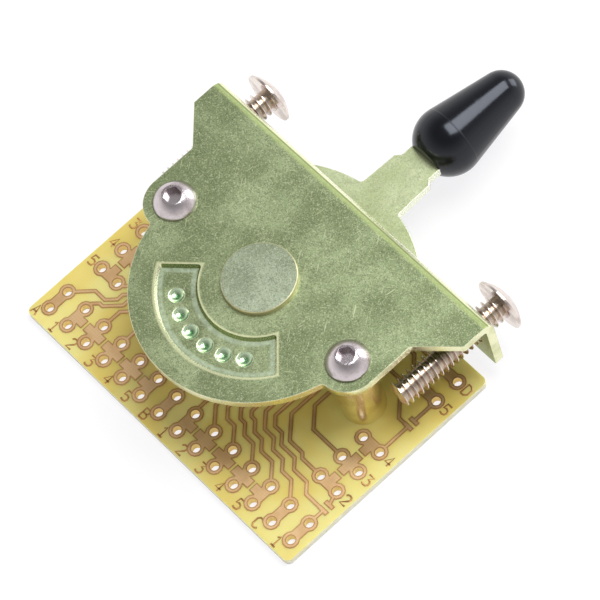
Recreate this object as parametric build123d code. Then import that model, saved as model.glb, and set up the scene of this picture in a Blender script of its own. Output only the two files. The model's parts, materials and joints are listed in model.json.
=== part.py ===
from build123d import *
import math
import os

# Lever-operated pickup selector switch for a guitar: four poles and five positions.
# A bent steel frame carries a printed circuit board on two spacers. A lever turns on a
# riveted pivot between them, and a moulded rotor under it wipes contact arcs on the board.
#
# Frame: the origin is the centre of the lever slot in the flange's outer face. +X runs
# along the flange, +Y points out of it towards the lever's tip, and +Z points out of the
# frame's face. The switch lies on the back of its board. All sizes are in millimetres.

# Steel frame
sheet = 1.2
bend_radius = 0.5
flange_end_margin = 3.4
flange_depth = 9.5
slot_depth = 5.2
pivot_setback = 15.0
ear_length = 4.5
shoulder_length = 8.75
face_radius = 15.9
boss_radius = 3.95
corner_radius = 0.6
flange_corner = 0.4
lever_slot_length = 26.0
lever_slot_height = 2.2

# Detent track pressed into the frame
track_inner_radius = 7.5
track_outer_radius = 12.7
track_apex = 2.6
track_half_angle = 48.5
track_depth = 0.5
track_draft = 30.0
track_corner = 0.4
detent_count = 5
detent_step = 15.0
dimple_radius = 1.0
dimple_depth = 0.5

# Pivot
pivot_radius = 2.5
pivot_head_radius = 4.65
pivot_head_height = 0.75
pivot_tail_radius = 1.8

# Circuit board and what holds it
board_end_margin = 1.87
board_width = 32.05
board_thickness = 1.0
board_corner = 0.8
board_gap = 10.0
board_back_edge = 20.0
spacer_pitch = 31.0
spacer_radius = 2.75
spacer_shank_radius = 1.9
spacer_bore_depth = 7.0

# Socket button-head screws that hold the frame to the spacers
board_screw_radius = 1.5
board_screw_length = 6.0
button_radius = 2.725
button_height = 1.65
button_land = 0.25
button_top_radius = 1.3
hex_across_flats = 2.0
hex_depth = 1.0

# Where the middle of a domed head's arc lies, as parts of its width and height
dome_set_in = 0.43
dome_set_up = 0.585

# Mounting screws, 6-32 thread
mount_pitch = 41.3
mount_screw_radius = 1.75
mount_screw_length = 16.0
mount_head_radius = 3.45
mount_head_height = 1.4
mount_head_land = 0.3
mount_head_top = 1.15
mount_head_standoff = 3.2
mount_screw_chamfer = 0.35
cross_width = 0.9
cross_span = 3.6
cross_depth = 0.9

# Lever
lever_thickness = 1.2
fan_radius = 18.4
fan_half_angle = 40.0
lever_hub_radius = 8.2
stem_root_width = 6.6
stem_end_width = 6.2
stem_reach = 23.3
tang_width = 4.9
tang_length = 11.0
stem_fillet = 0.5
stem_overlap = 1.8

# Lever tip
tip_start = 25.5
tip_length = 15.2
tip_base_radius = 2.3
tip_max_radius = 4.3
tip_max_at = 4.35
tip_bulge = 0.8
tip_end_radius = 2.85
tip_end_taper = 10.0

# Rotor
rotor_radius = 8.6
rotor_thickness = 4.2
rotor_hub_radius = 4.0
rotor_rim_width = 1.2
rotor_rim_depth = 2.8
peg_radius = 0.9
peg_proud = 0.4
peg_angle = 32.7
peg_circle = 6.65

# Detent spring
spring_thickness = 0.3
spring_half_width = 6.4
spring_leg_width = 1.7
spring_base_start = 4.6
spring_base_end = 8.6
spring_bar_width = 3.0
spring_bar_height = 2.05
nose_height = 0.65
nose_top_width = 0.3
nose_base_width = 1.3
rivet_radius = 0.8
rivet_head_radius = 1.3
rivet_head_height = 0.5
rivet_spacing = 6.4

# Contacts on the board
copper = 0.07
pole_count = 4
contact_inner_radius = 6.1
contact_outer_radius = 8.1
contact_angle = 11.0
common_inner_radius = 4.7
common_outer_radius = 5.5
spoke_radius = 8.0
first_contact_angle = 150.0

# Solder pads, each a pair of holes, and the tracks between pads and contacts
pad_pitch = 3.42
bottom_pad_count = 14
pair_spacing = 2.9
pad_radius = 1.05
solder_hole_radius = 0.55
ring_sides = 12
pad_bar_width = 1.5
bottom_pad_inset = 2.25
side_pad_inset = 2.55
side_low_level = 9.85
side_high_level = 6.08
tongue_height = 1.3
tongue_gap = 0.3
track_width = 0.5
escape = 2.25
stair_rise = 1.1
right_lane = 1.4
right_lane_pitch = 1.25
side_jog_start = 15.4
side_jog = 0.5
side_turn = 2.5
side_turn_step = -0.3
left_lane_clearance = 0.75
left_lane_pitch = 0.86
left_fan_offset = 3.2
left_fan_pitch = 1.2
left_fan_middle = 2
left_upper_slant = 6.6
left_upper_pitch = 1.5
left_first_run = 2.45
left_second_rise = 1.0
left_second_run = 0.7
left_jog = 0.85
left_jog_start = 16.9
left_jog_pitch = 1.15
tab_width = 1.4
tab_height = 0.6
tab_gap = 0.35
tab_lead = 1.6

# Levels at which the tracks from the upper pads cross the board's front
right_low_level = 5.1
right_middle_level = 8.45
right_high_level = 9.5
left_high_level = 10.7
left_middle_level = 8.7
right_middle_escape = 1.15
low_shelf = 4.0
low_shelf_end = 16.0

# Nets count anticlockwise from the lower left, each pole's common before its throws.
# The tables give each net's crossing level and way out, the rise and run of the first
# tracks on the left, and how far out each track on the right leaves its levels.
lower_middle_nets = (5, 6, 7)
low_tab_nets = (16, 21)
high_tab_nets = (17, 20)
upper_levels = {
    16: right_low_level,
    17: right_middle_level,
    18: right_high_level,
    19: left_high_level,
    20: left_middle_level,
}
upper_escapes = {17: right_middle_escape}
corner_ways = ((0, left_first_run), (left_second_rise, left_second_run))
stair_ends = {
    9: (5.0,),
    10: (8.1, 6.15),
    11: (11.15, 8.7, 6.9),
    12: (14.9, 12.05, 9.3),
    13: (19.2, 15.8, 12.3, 9.9),
}

# Wipers
wiper_thickness = 0.2
wiper_base_length = 1.2
wiper_reach = 2.2
outer_finger_width = 1.3
inner_finger_width = 0.7
finger_tip = 0.4

# The widest slice that a ring sector is cut with, in degrees
widest_slice = 60.0

# Clearances
fit_gap = 0.02
running_gap = 0.05
end_float = 0.1
thread_gap = 0.03
hole_clearance = 0.15

# Levels and places that follow from the sizes above
flange_length = mount_pitch + 2 * flange_end_margin
board_length = (bottom_pad_count - 1) * pad_pitch + 2 * board_end_margin
face_top = slot_depth
face_bottom = face_top - sheet
board_top = face_bottom - board_gap
board_bottom = board_top - board_thickness
lever_top = lever_thickness / 2
lever_bottom = -lever_thickness / 2
pivot = Pos(0, -pivot_setback, 0)
detent_circle = (track_inner_radius + track_outer_radius) / 2
rotor_bottom = lever_bottom - rotor_thickness
spoke_step = 360 / (pole_count * (detent_count + 1))
board_front_edge = board_width - board_back_edge


def polar(radius, angle):
    """The point at a radius and an angle in degrees about the pivot."""
    return (radius * math.cos(math.radians(angle)), radius * math.sin(math.radians(angle)))


def disc(radius, bottom, top):
    """A cylinder between two levels about the pivot axis."""
    upward = (Align.CENTER, Align.CENTER, Align.MIN)
    return pivot * Pos(0, 0, bottom) * Cylinder(radius, top - bottom, align=upward)


def post(x, radius, bottom, top):
    """An upright cylinder beside the pivot."""
    return Pos(x, 0, 0) * disc(radius, bottom, top)


def slab(sketch, bottom, top):
    """A flat piece with an outline drawn about the pivot, between two levels."""
    return extrude(pivot * Pos(0, 0, bottom) * sketch, top - bottom)


def sector(radius, start, end):
    """A pie slice about the pivot; its straight sides reach well past the radius."""
    reach = 2 * radius
    parts = math.ceil((end - start) / widest_slice)
    angles = [start + (end - start) * n / parts for n in range(parts + 1)]
    return Circle(radius) & Polygon((0, 0), *[polar(reach, a) for a in angles], align=None)


def ring_sector(inner, outer, start, end):
    """A slice of a ring about the pivot."""
    return sector(outer, start, end) - Circle(inner)


def stroke(points, width):
    """A strip of even width along a chain of points, with mitred corners and no repeats."""
    repeated = [n and math.dist(points[n - 1], points[n]) < fit_gap for n in range(len(points))]
    chain = [Vector(*p) for p, again in zip(points, repeated) if not again]
    left, right = [], []
    for n, here in enumerate(chain):
        arriving = (here - chain[n - 1]).normalized() if n else (chain[1] - here).normalized()
        leaving = (chain[n + 1] - here).normalized() if n + 1 < len(chain) else arriving
        along = (arriving + leaving).normalized()
        side = Vector(-along.Y, along.X)
        reach = width / 2 / side.dot(Vector(-arriving.Y, arriving.X))
        left.append(here + side * reach)
        right.append(here - side * reach)
    outline = right + left[::-1]
    return Polygon(*[(p.X, p.Y) for p in outline], align=None)


# Frame


def detent_track(margin):
    """The outline of the pressed track, between two arcs and two slanted ends."""
    reach = 3 * track_outer_radius
    slant = math.radians(track_half_angle)
    across = reach * math.sin(slant)
    down = track_apex - reach * math.cos(slant)
    wedge = Polygon((0, track_apex), (-across, down), (across, down), align=None)
    band = (Circle(track_outer_radius) - Circle(track_inner_radius)) & wedge
    band = fillet(band.vertices(), track_corner)
    return offset(band, margin) if margin else band


def detent_angles():
    """The angles of the dimples, one on each side of every lever position."""
    first = -90 - detent_step * detent_count / 2
    return [first + detent_step * n for n in range(detent_count + 1)]


def dimple_ball(level):
    """A ball whose cap, cut at a level, has the dimple's radius and depth."""
    ball_radius = (dimple_radius**2 + dimple_depth**2) / (2 * dimple_depth)
    return Pos(0, 0, level + ball_radius - dimple_depth) * Sphere(ball_radius)


def frame_outline():
    """The flat face below the bend: ears, shoulders, screw bosses and the round end."""
    half = flange_length / 2
    waist = spacer_pitch / 2 + boss_radius
    ear = pivot_setback - ear_length
    shoulder = pivot_setback - shoulder_length
    right = [(waist, 0), (waist, shoulder), (half, ear)]
    left = [(-x, y) for x, y in reversed(right)]
    bosses = [Pos(side * spacer_pitch / 2, 0) * Circle(boss_radius) for side in (-1, 1)]
    round_end = Circle(face_radius) & (Pos(0, -face_radius) * Rectangle(4 * face_radius, 2 * face_radius))
    outline = Sketch() + [Polygon(*left, *right, align=None), round_end, *bosses]
    below_bend = [v for v in outline.vertices() if v.Y < ear - corner_radius]
    return fillet([v for v in below_bend if abs(v.Y) > corner_radius], corner_radius)


def folded_strip():
    """The flange, the bend and the ears, as one bent section."""
    outer = bend_radius + sheet
    free_edge = face_top - flange_depth
    below_bend = face_top - outer
    flange = Pos(-sheet / 2, (free_edge + below_bend) / 2) * Rectangle(sheet, below_bend - free_edge)
    ears = Pos(-(outer + ear_length) / 2, face_top - sheet / 2) * Rectangle(ear_length - outer, sheet)
    corner = Pos(-outer, below_bend) * (Circle(outer) - Circle(bend_radius))
    quarter = Pos(-outer / 2, face_top - outer / 2) * Rectangle(outer, outer)
    section = flange + ears + (corner & quarter)
    plane = Plane(origin=(-flange_length / 2, 0, 0), x_dir=(0, 1, 0), z_dir=(1, 0, 0))
    return extrude(plane * section, flange_length)


def flange_plane(y):
    """A plane across the flange, looking back along the screws."""
    return Plane(origin=(0, y, 0), x_dir=(1, 0, 0), z_dir=(0, -1, 0))


def make_frame_plate():
    plate = slab(frame_outline(), face_bottom, face_top) + folded_strip()
    free_edge = face_top - flange_depth
    across = plate.edges().filter_by(Axis.Y)
    plate = fillet([e for e in across if e.center().Z < free_edge + corner_radius], flange_corner)

    floor = face_top - track_depth
    boss = pivot * Pos(0, 0, face_bottom) * detent_track(track_depth)
    plate += extrude(boss, -track_depth, taper=track_draft)
    bump = dimple_ball(face_bottom - track_depth)
    bump &= Pos(0, 0, face_bottom - sheet) * Box(4 * sheet, 4 * sheet, 2 * sheet)
    recess = pivot * Pos(0, 0, face_top) * detent_track(0)
    for angle in detent_angles():
        plate += pivot * Pos(*polar(detent_circle, angle)) * bump
    plate -= extrude(recess, -track_depth, taper=track_draft)
    for angle in detent_angles():
        plate -= pivot * Pos(*polar(detent_circle, angle)) * dimple_ball(floor)

    slot = SlotOverall(lever_slot_length, lever_slot_height)
    plate -= extrude(flange_plane(sheet) * slot, 3 * sheet)
    tapped = Circle(mount_screw_radius + thread_gap)
    for side in (-1, 1):
        at = Pos(side * mount_pitch / 2, 0)
        plate -= extrude(flange_plane(sheet) * at * tapped, 3 * sheet)
        plate -= post(side * spacer_pitch / 2, board_screw_radius + hole_clearance, face_bottom, face_top)
    return plate - disc(pivot_radius + fit_gap, face_bottom, face_top)


def make_pivot_pin():
    """A shouldered rivet: head on the frame, journal for the rotor, tail in the board."""
    head_top = face_top + pivot_head_height
    head = disc(pivot_head_radius, face_top, head_top)
    head = fillet(head.edges().group_by(Axis.Z)[-1], pivot_head_height / 5)
    journal = disc(pivot_radius, board_top, face_top)
    tail = disc(pivot_tail_radius, board_bottom, board_top)
    return head + journal + tail


# Fasteners


def dome(radius, land, height, top_radius):
    """Half the outline of a domed screw head that stands on its own zero level."""
    rise = height - land
    middle = (radius - (radius - top_radius) * dome_set_in, land + rise * dome_set_up)
    side = Line((radius, 0), (radius, land))
    crown = ThreePointArc((radius, land), middle, (top_radius, height))
    return side + crown + Polyline((top_radius, height), (0, height), (0, 0), (radius, 0))


def revolved_head(radius, land, height, top_radius):
    """A domed screw head that stands on z = 0."""
    section = Plane.XZ * make_face(dome(radius, land, height, top_radius))
    return revolve(section, Axis.Z)


def make_board_screw(x):
    shank = post(x, board_screw_radius, face_top - board_screw_length, face_top)
    head = revolved_head(button_radius, button_land, button_height, button_top_radius)
    socket = RegularPolygon(hex_across_flats / 2, 6, major_radius=False)
    head -= extrude(Pos(0, 0, button_height) * socket, -hex_depth)
    return shank + pivot * Pos(x, 0, face_top) * head


def make_mounting_screw(x):
    head = revolved_head(mount_head_radius, mount_head_land, mount_head_height, mount_head_top)
    arm = Rectangle(cross_span, cross_width)
    recess = Pos(0, 0, mount_head_height - cross_depth) * (arm + Rot(0, 0, 90) * arm)
    head -= extrude(recess, mount_head_height)
    downward = (Align.CENTER, Align.CENTER, Align.MAX)
    shank = Cylinder(mount_screw_radius, mount_screw_length, align=downward)
    shank = chamfer(shank.edges().group_by(Axis.Z)[0], mount_screw_chamfer)
    seat = Plane(origin=(x, mount_head_standoff, 0), x_dir=(1, 0, 0), z_dir=(0, 1, 0))
    return seat * (shank + head)


def make_spacer(x):
    """A threaded spacer whose shank is pressed flush into the board."""
    body = post(x, spacer_radius, board_top, face_bottom)
    shank = post(x, spacer_shank_radius, board_bottom, board_top)
    bore = post(x, board_screw_radius + thread_gap, face_bottom - spacer_bore_depth, face_bottom)
    return body + shank - bore


# Lever, rotor and spring


def make_lever_plate():
    fan = sector(fan_radius, 90 - fan_half_angle, 90 + fan_half_angle)
    root = fan_radius - stem_overlap
    stem = [
        (stem_root_width / 2, root),
        (stem_end_width / 2, stem_reach),
        (tang_width / 2, stem_reach + (stem_end_width - tang_width) / 2),
        (tang_width / 2, stem_reach + tang_length - tang_width / 4),
        (tang_width / 4, stem_reach + tang_length),
    ]
    mirrored = [(-x, y) for x, y in reversed(stem)]
    outline = fan + Circle(lever_hub_radius) + Polygon(*stem, *mirrored, align=None)
    outline -= Circle(rotor_hub_radius + fit_gap)
    for side in (-1, 1):
        outline -= Pos(*polar(peg_circle, -90 + side * peg_angle)) * Circle(peg_radius + fit_gap)
        outline -= Pos(side * rivet_spacing / 2, rivet_row()) * Circle(rivet_radius + fit_gap)
    plate = slab(outline, lever_bottom, lever_top)
    upright = plate.edges().filter_by(Axis.Z)
    sides = [e for e in upright if abs(abs(e.center().X) - stem_root_width / 2) < stem_fillet]
    rim = fan_radius - pivot_setback
    return fillet([e for e in sides if abs(e.center().Y - rim) < 2 * stem_fillet], stem_fillet)


def rivet_row():
    """How far the spring's rivets stand in front of the pivot."""
    return (spring_base_start + spring_base_end) / 2


def tip_profile():
    """Half the tip's section: rounded base, long taper and a ball end."""
    taper = math.radians(tip_end_taper)
    centre = tip_length - tip_end_radius
    tangent = (tip_end_radius * math.cos(taper), centre + tip_end_radius * math.sin(taper))
    bulge = (tip_max_radius - tip_bulge, tip_max_at / 4)
    middle = math.radians((tip_end_taper + 90) / 2)
    cap = (tip_end_radius * math.cos(middle), centre + tip_end_radius * math.sin(middle))
    base = ThreePointArc((tip_base_radius, 0), bulge, (tip_max_radius, tip_max_at))
    flank = Line((tip_max_radius, tip_max_at), tangent)
    end = ThreePointArc(tangent, cap, (0, tip_length))
    return base + flank + end + Polyline((0, tip_length), (0, 0), (tip_base_radius, 0))


def make_lever_tip():
    tip = revolve(make_face(tip_profile()), Axis.Y)
    tip = Pos(0, tip_start - pivot_setback, 0) * tip
    depth = stem_reach + tang_length - pivot_setback + fit_gap
    socket = Box(
        tang_width + 2 * fit_gap,
        depth,
        lever_thickness + 2 * fit_gap,
        align=(Align.CENTER, Align.MIN, Align.CENTER),
    )
    return tip - socket


def make_rotor():
    """The moulded carrier: a hub on the pivot, a rimmed disc and two pegs through the lever."""
    rotor = disc(rotor_radius, rotor_bottom, lever_bottom)
    hollow = slab(
        Circle(rotor_radius - rotor_rim_width) - Circle(rotor_hub_radius + rotor_rim_width),
        rotor_bottom,
        rotor_bottom + rotor_rim_depth,
    )
    rotor -= hollow
    for n in range(pole_count):
        rotor += wiper_place(n) * extrude(Pos(0, 0, rotor_bottom) * wiper_seat(), rotor_rim_depth)
    rotor += disc(rotor_hub_radius, board_top + end_float, face_bottom - end_float)
    for side in (-1, 1):
        at = Pos(*polar(peg_circle, -90 + side * peg_angle))
        rotor += at * disc(peg_radius, lever_bottom, lever_top + peg_proud)
    return rotor - disc(pivot_radius + running_gap, board_top, face_bottom)


def spring_section():
    """The spring's cross bar seen along its nose, which rests between two detent bumps."""
    level = lever_top + spring_bar_height - spring_thickness / 2
    peak = level + nose_height
    half = [(nose_top_width / 2, peak), (nose_base_width / 2, level), (spring_half_width, level)]
    line = [(-x, z) for x, z in reversed(half)] + half
    return stroke(line, spring_thickness)


def make_detent_spring():
    """A U-shaped leaf round the hub, riveted in front and rising to its nose behind."""
    low = lever_top + spring_thickness / 2
    high = lever_top + spring_bar_height - spring_thickness / 2
    bar_front = -detent_circle + spring_bar_width / 2
    side_line = [(spring_base_end, low), (spring_base_start, low), (bar_front, high)]
    side_plane = Plane(origin=(-spring_half_width, 0, 0), x_dir=(0, 1, 0), z_dir=(1, 0, 0))
    side = side_plane * stroke(side_line, spring_thickness)
    leaf = pivot * extrude(side, 2 * spring_half_width)
    opening = 2 * (spring_half_width - spring_leg_width)
    window = Rectangle(opening, spring_base_start - bar_front)
    leaf -= slab(Pos(0, (bar_front + spring_base_start) / 2) * window, lever_top, face_bottom)
    bar_plane = Plane(origin=(0, bar_front, 0), x_dir=(1, 0, 0), z_dir=(0, -1, 0))
    leaf += pivot * extrude(bar_plane * spring_section(), spring_bar_width)
    for side in (-1, 1):
        at = Pos(side * rivet_spacing / 2, rivet_row())
        leaf -= at * disc(rivet_radius + fit_gap, lever_top, lever_top + spring_thickness)
    return leaf


def make_spring_rivet(x):
    """A rivet through the spring's base and the lever, flush below."""
    seat = lever_top + spring_thickness
    shank = disc(rivet_radius, lever_bottom, seat)
    head = disc(rivet_head_radius, seat, seat + rivet_head_height)
    return Pos(x, rivet_row(), 0) * (shank + head)


# Wipers


def finger_radii():
    """The radii of the two fingertips, over the middle of the contacts and of the common arc."""
    outer = (contact_inner_radius + contact_outer_radius) / 2
    inner = (common_inner_radius + common_outer_radius) / 2
    return outer, inner


def finger_offsets():
    """How far from the pivot each finger runs, so that its tip comes to its radius."""
    tip = wiper_reach + finger_tip / 2
    return [math.sqrt(radius**2 - tip**2) for radius in finger_radii()]


def wiper_place(n):
    """Where a pole's wiper sits, its outer fingertip on the middle contact."""
    middle = first_contact_angle + spoke_step * (detent_count + 1) / 2
    lag = math.degrees(math.asin((wiper_reach + finger_tip / 2) / finger_radii()[0]))
    return pivot * Rot(0, 0, middle + lag + 360 / pole_count * n)


def wiper_seat():
    """The outline of a wiper's base."""
    outer, inner = finger_offsets()
    low = inner - inner_finger_width / 2
    high = outer + outer_finger_width / 2
    return Pos((low + high) / 2, 0) * Rectangle(high - low, wiper_base_length)


def make_wiper(n):
    """Two sprung fingers on one base, which join a contact to its common arc."""
    top = rotor_bottom - wiper_thickness / 2
    contact = board_top + copper + running_gap + wiper_thickness / 2
    start = wiper_base_length / 2
    line = [(start, top), (-start, top), (-wiper_reach, contact)]
    line += [(-wiper_reach - finger_tip, contact)]
    wiper = extrude(Pos(0, 0, rotor_bottom) * wiper_seat(), -wiper_thickness)
    for middle, width in zip(finger_offsets(), (outer_finger_width, inner_finger_width)):
        plane = Plane(origin=(middle - width / 2, 0, 0), x_dir=(0, 1, 0), z_dir=(1, 0, 0))
        wiper += extrude(plane * stroke(line, wiper_thickness), width)
    return wiper_place(n) * wiper


# Circuit board


def pads():
    """Pairs of (outer, inner) hole centres about the pivot, anticlockwise from lower left."""
    low = -board_back_edge + bottom_pad_inset
    span = (bottom_pad_count - 1) * pad_pitch
    bottom = [-span / 2 + n * pad_pitch for n in range(bottom_pad_count)]
    pairs = [((x, low), (x, low + pair_spacing)) for x in bottom]
    edge = board_length / 2 - side_pad_inset
    levels = [-side_low_level + n * pad_pitch for n in range(3)]
    levels += [side_high_level + n * pad_pitch for n in range(2)]
    pairs += [((edge, y), (edge - pair_spacing, y)) for y in levels]
    pairs += [((-edge, y), (-edge + pair_spacing, y)) for y in reversed(levels)]
    return pairs


def make_circuit_board():
    middle = (board_front_edge - board_back_edge) / 2
    outline = Pos(0, middle) * RectangleRounded(board_length, board_width, board_corner)
    outline -= Circle(pivot_tail_radius + fit_gap)
    for side in (-1, 1):
        outline -= Pos(side * spacer_pitch / 2, 0) * Circle(spacer_shank_radius + fit_gap)
    centres = [point for pair in pads() for point in pair]
    outline -= [Pos(*point) * Circle(solder_hole_radius) for point in centres]
    return slab(outline, board_bottom, board_top)


def spoke(n):
    """Where a net's track meets its contact or its common arc."""
    return polar(spoke_radius, first_contact_angle + spoke_step * n)


def left_track(n, pad):
    """A track on the left: out to a slanted line, up a lane and in to its contact."""
    place = n if n < bottom_pad_count else n - len(pads())
    steps = place - left_fan_middle
    slant = -left_fan_offset + left_fan_pitch * steps
    if place < 0:
        slant = -left_upper_slant + left_upper_pitch * place
    lane = -(spoke_radius + left_lane_clearance) + left_lane_pitch * steps
    jogged = 0 <= place < len(corner_ways)
    x, y = pad
    line = [pad]
    if jogged:
        rise, run = corner_ways[place]
        line.append((x, y + rise))
        x, y = x + run, y + rise + run
        line.append((x, y))
    line.append((y + slant, y) if x - y < slant else (x, x - slant))
    if jogged:
        jog = -left_jog_start + left_jog_pitch * place
        line += [(jog, jog - slant), (jog, jog - slant + left_jog)]
        slant -= left_jog
    line.append((lane, lane - slant))
    end_x, end_y = spoke(n)
    if place < 0:
        turn = track_width + tongue_gap
        line += [(lane, end_y - turn), (lane + turn, end_y)]
    else:
        line.append((lane, end_y - (end_x - lane)))
    return line + [(end_x, end_y)]


def right_track(n, pad):
    """A track on the right: stairs up and inwards to its lane, then in to its contact."""
    lane = right_lane + right_lane_pitch * (n - bottom_pad_count / 2)
    x, y = pad
    line = [pad]
    if n < bottom_pad_count:
        last = n == bottom_pad_count - 1
        x, y = (x, y + escape) if last else (x - escape, y + escape)
        line.append((x, y))
        for end in stair_ends.get(n, ()):
            rise = min(stair_rise, end - lane)
            line += [(end, y), (end - rise, y + rise)]
            x, y = end - rise, y + rise
    else:
        if n == bottom_pad_count:
            line += [(side_jog_start, y), (side_jog_start - side_jog, y + side_jog)]
            y += side_jog
        x = lane + side_turn + side_turn_step * (n - bottom_pad_count)
        line.append((x, y))
    end_x, end_y = spoke(n)
    return line + [(lane, y + x - lane), (lane, end_y - (lane - end_x)), (end_x, end_y)]


def middle_track(n, pad):
    """A track from the middle of the lower row, straight up and in to its contact."""
    x, y = pad
    end_x, end_y = spoke(n)
    line = [pad]
    if x > 0:
        shift = x - right_lane
        x, y = right_lane, y + shift
        line.append((x, y))
    return line + [(x, end_y - abs(x - end_x)), (end_x, end_y)]


def upper_track(n, pad):
    """A track from the upper pads, along the board's front and down to its contact."""
    x, y = pad
    end_x, end_y = spoke(n)
    level = upper_levels.get(n, end_y)
    side = 1 if x > 0 else -1
    if n in low_tab_nets:
        x, y = side * tab_x(), tab_y() - tab_gap / 2 - tab_height / 2
        shelf = upper_levels.get(n, low_shelf)
        slope = side * (tab_x() - tab_lead)
        line = [(x, y), (slope, y), (slope - side * (shelf - y), shelf)]
        line += [(side * low_shelf_end, shelf), (side * (low_shelf_end - level + shelf), level)]
    else:
        out = x - side * upper_escapes.get(n, 0)
        line = [pad, (out, y), (out - side * (level - y), level)]
    drop = abs(level - end_y)
    return line + ([(end_x + side * drop, level)] if drop else []) + [(end_x, end_y)]


def tab_x():
    """How far out the solder tabs on the board's ends stand."""
    return board_length / 2 - side_pad_inset


def tab_y():
    """The middle of the gap between the solder tabs on the board's ends."""
    return side_high_level / 3


def tab(x, y):
    """The head of a solder tab."""
    return Pos(x, y) * Rectangle(tab_width, tab_height)


def net_route(n, pad):
    """The track of a net, by where its pad is."""
    if n in lower_middle_nets:
        return middle_track(n, pad)
    if low_tab_nets[0] <= n <= low_tab_nets[1]:
        return upper_track(n, pad)
    if lower_middle_nets[-1] < n < low_tab_nets[0]:
        return right_track(n, pad)
    return left_track(n, pad)


def jumper(n, pairs):
    """Tongues from a throw's bar towards its neighbours, close enough to bridge with solder."""
    (ox, oy), (ix, iy) = pairs[n]
    cx, cy = (ox + ix) / 2, (oy + iy) / 2
    reach = pad_pitch / 2 - tongue_gap / 2
    tongues = []
    for m in (n - 1, n + 1):
        near = 0 <= m < len(pairs) and math.dist(pairs[m][0], pairs[n][0]) < pad_pitch + fit_gap
        if near and not is_common(m) and not is_common(n) and m != bottom_pad_count - 1:
            mx, my = (pairs[m][0][0] - ox) / pad_pitch, (pairs[m][0][1] - oy) / pad_pitch
            tongues.append(stroke([(cx, cy), (cx + mx * reach, cy + my * reach)], tongue_height))
    return tongues


def is_common(n):
    """Whether a net is a pole's common terminal."""
    return n % (detent_count + 1) == 0


def end_tabs(n, pairs):
    """Solder tabs that join two throws of one pole across a gap in the pads."""
    (ox, oy), _ = pairs[n]
    edge = math.copysign(tab_x(), ox)
    high = tab_y() + tab_gap / 2 + tab_height / 2
    low = tab_y() - tab_gap / 2 - tab_height / 2
    if n in low_tab_nets:
        return [stroke([(ox, oy), (edge, low)], track_width), tab(edge, low)]
    if n in high_tab_nets:
        return [stroke([(ox, oy), (edge, high)], track_width), tab(edge, high)]
    corner = (pairs[bottom_pad_count - 1][1][1] + escape, pairs[bottom_pad_count][0][1])
    if n == bottom_pad_count - 1:
        return [tab(ox, corner[0])]
    if n == bottom_pad_count:
        over = corner[0] + tab_height + tab_gap
        x = pairs[n - 1][0][0]
        return [stroke([(ox, oy), (x, over)], track_width), tab(x, over)]
    return []


def contact(n):
    """A net's contact under the rotor, or its pole's common arc."""
    angle = first_contact_angle + spoke_step * n
    half = contact_angle / 2
    if not is_common(n):
        return [ring_sector(contact_inner_radius, contact_outer_radius, angle - half, angle + half)]
    half_track = math.degrees(track_width / 2 / common_outer_radius)
    end = angle + spoke_step * detent_count + half
    arc = ring_sector(common_inner_radius, common_outer_radius, angle - half_track, end)
    middle = (common_inner_radius + common_outer_radius) / 2
    return [arc, stroke([spoke(n), polar(middle, angle)], track_width)]


def ring_shape(radius):
    """The outline of a pad or of its hole, with flat sides to keep the copper light."""
    return RegularPolygon(radius, ring_sides, rotation=180 / ring_sides, major_radius=False)


def make_net(n, pairs):
    """All the copper of one net: two pads, their bar, its track and its contact."""
    outer, inner = pairs[n]
    shapes = [Pos(*centre) * ring_shape(pad_radius) for centre in pairs[n]]
    shapes += [stroke([outer, inner], pad_bar_width), stroke(net_route(n, inner), track_width)]
    shapes += jumper(n, pairs) + end_tabs(n, pairs) + contact(n)
    flat = Sketch() + shapes
    flat -= [Pos(*centre) * ring_shape(solder_hole_radius) for centre in pairs[n]]
    return slab(flat, board_top, board_top + copper)


def make_pole(pole):
    """The copper of one pole: its common and its throws."""
    pairs = pads()
    throws = detent_count + 1
    nets = [make_net(n, pairs) for n in range(pole * throws, (pole + 1) * throws)]
    return Compound(children=[solid for net in nets for solid in net.solids()])


def make_parts():
    parts = {
        "frame_plate": make_frame_plate(),
        "pivot_pin": make_pivot_pin(),
        "circuit_board": make_circuit_board(),
        "lever_plate": make_lever_plate(),
        "lever_tip": make_lever_tip(),
        "rotor": make_rotor(),
        "detent_spring": make_detent_spring(),
    }
    for side, name in ((-1, "left"), (1, "right")):
        parts[f"spacer_{name}"] = make_spacer(side * spacer_pitch / 2)
        parts[f"board_screw_{name}"] = make_board_screw(side * spacer_pitch / 2)
        parts[f"mounting_screw_{name}"] = make_mounting_screw(side * mount_pitch / 2)
        parts[f"spring_rivet_{name}"] = make_spring_rivet(side * rivet_spacing / 2)
    for pole in range(pole_count):
        letter = "abcd"[pole]
        parts[f"copper_{letter}"] = make_pole(pole)
        parts[f"wiper_{letter}"] = make_wiper(pole)
    return parts


os.makedirs("parts", exist_ok=True)
for node, solid in make_parts().items():
    export_step(solid, f"parts/{node}.step")
    print(node, len(solid.solids()), round(solid.volume, 2))
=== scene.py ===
"""Looks for a lever-operated pickup selector switch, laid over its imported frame.

The frame gives each rigid piece its place and its size. This script rounds the edges of
the pressed and turned metal, cuts the threads of the mounting screws, etches the edges of
the foil and the pads' characters, gives every piece its finish, and sets up the studio and
the camera. Lengths are in metres, and those written in millimetres are scaled by MM.
"""

from __future__ import annotations

import json
import logging
import math
from dataclasses import dataclass
from enum import Enum
from typing import Mapping, Optional, Sequence, Union

import bmesh
import bpy
from mathutils import Matrix, Vector

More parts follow.
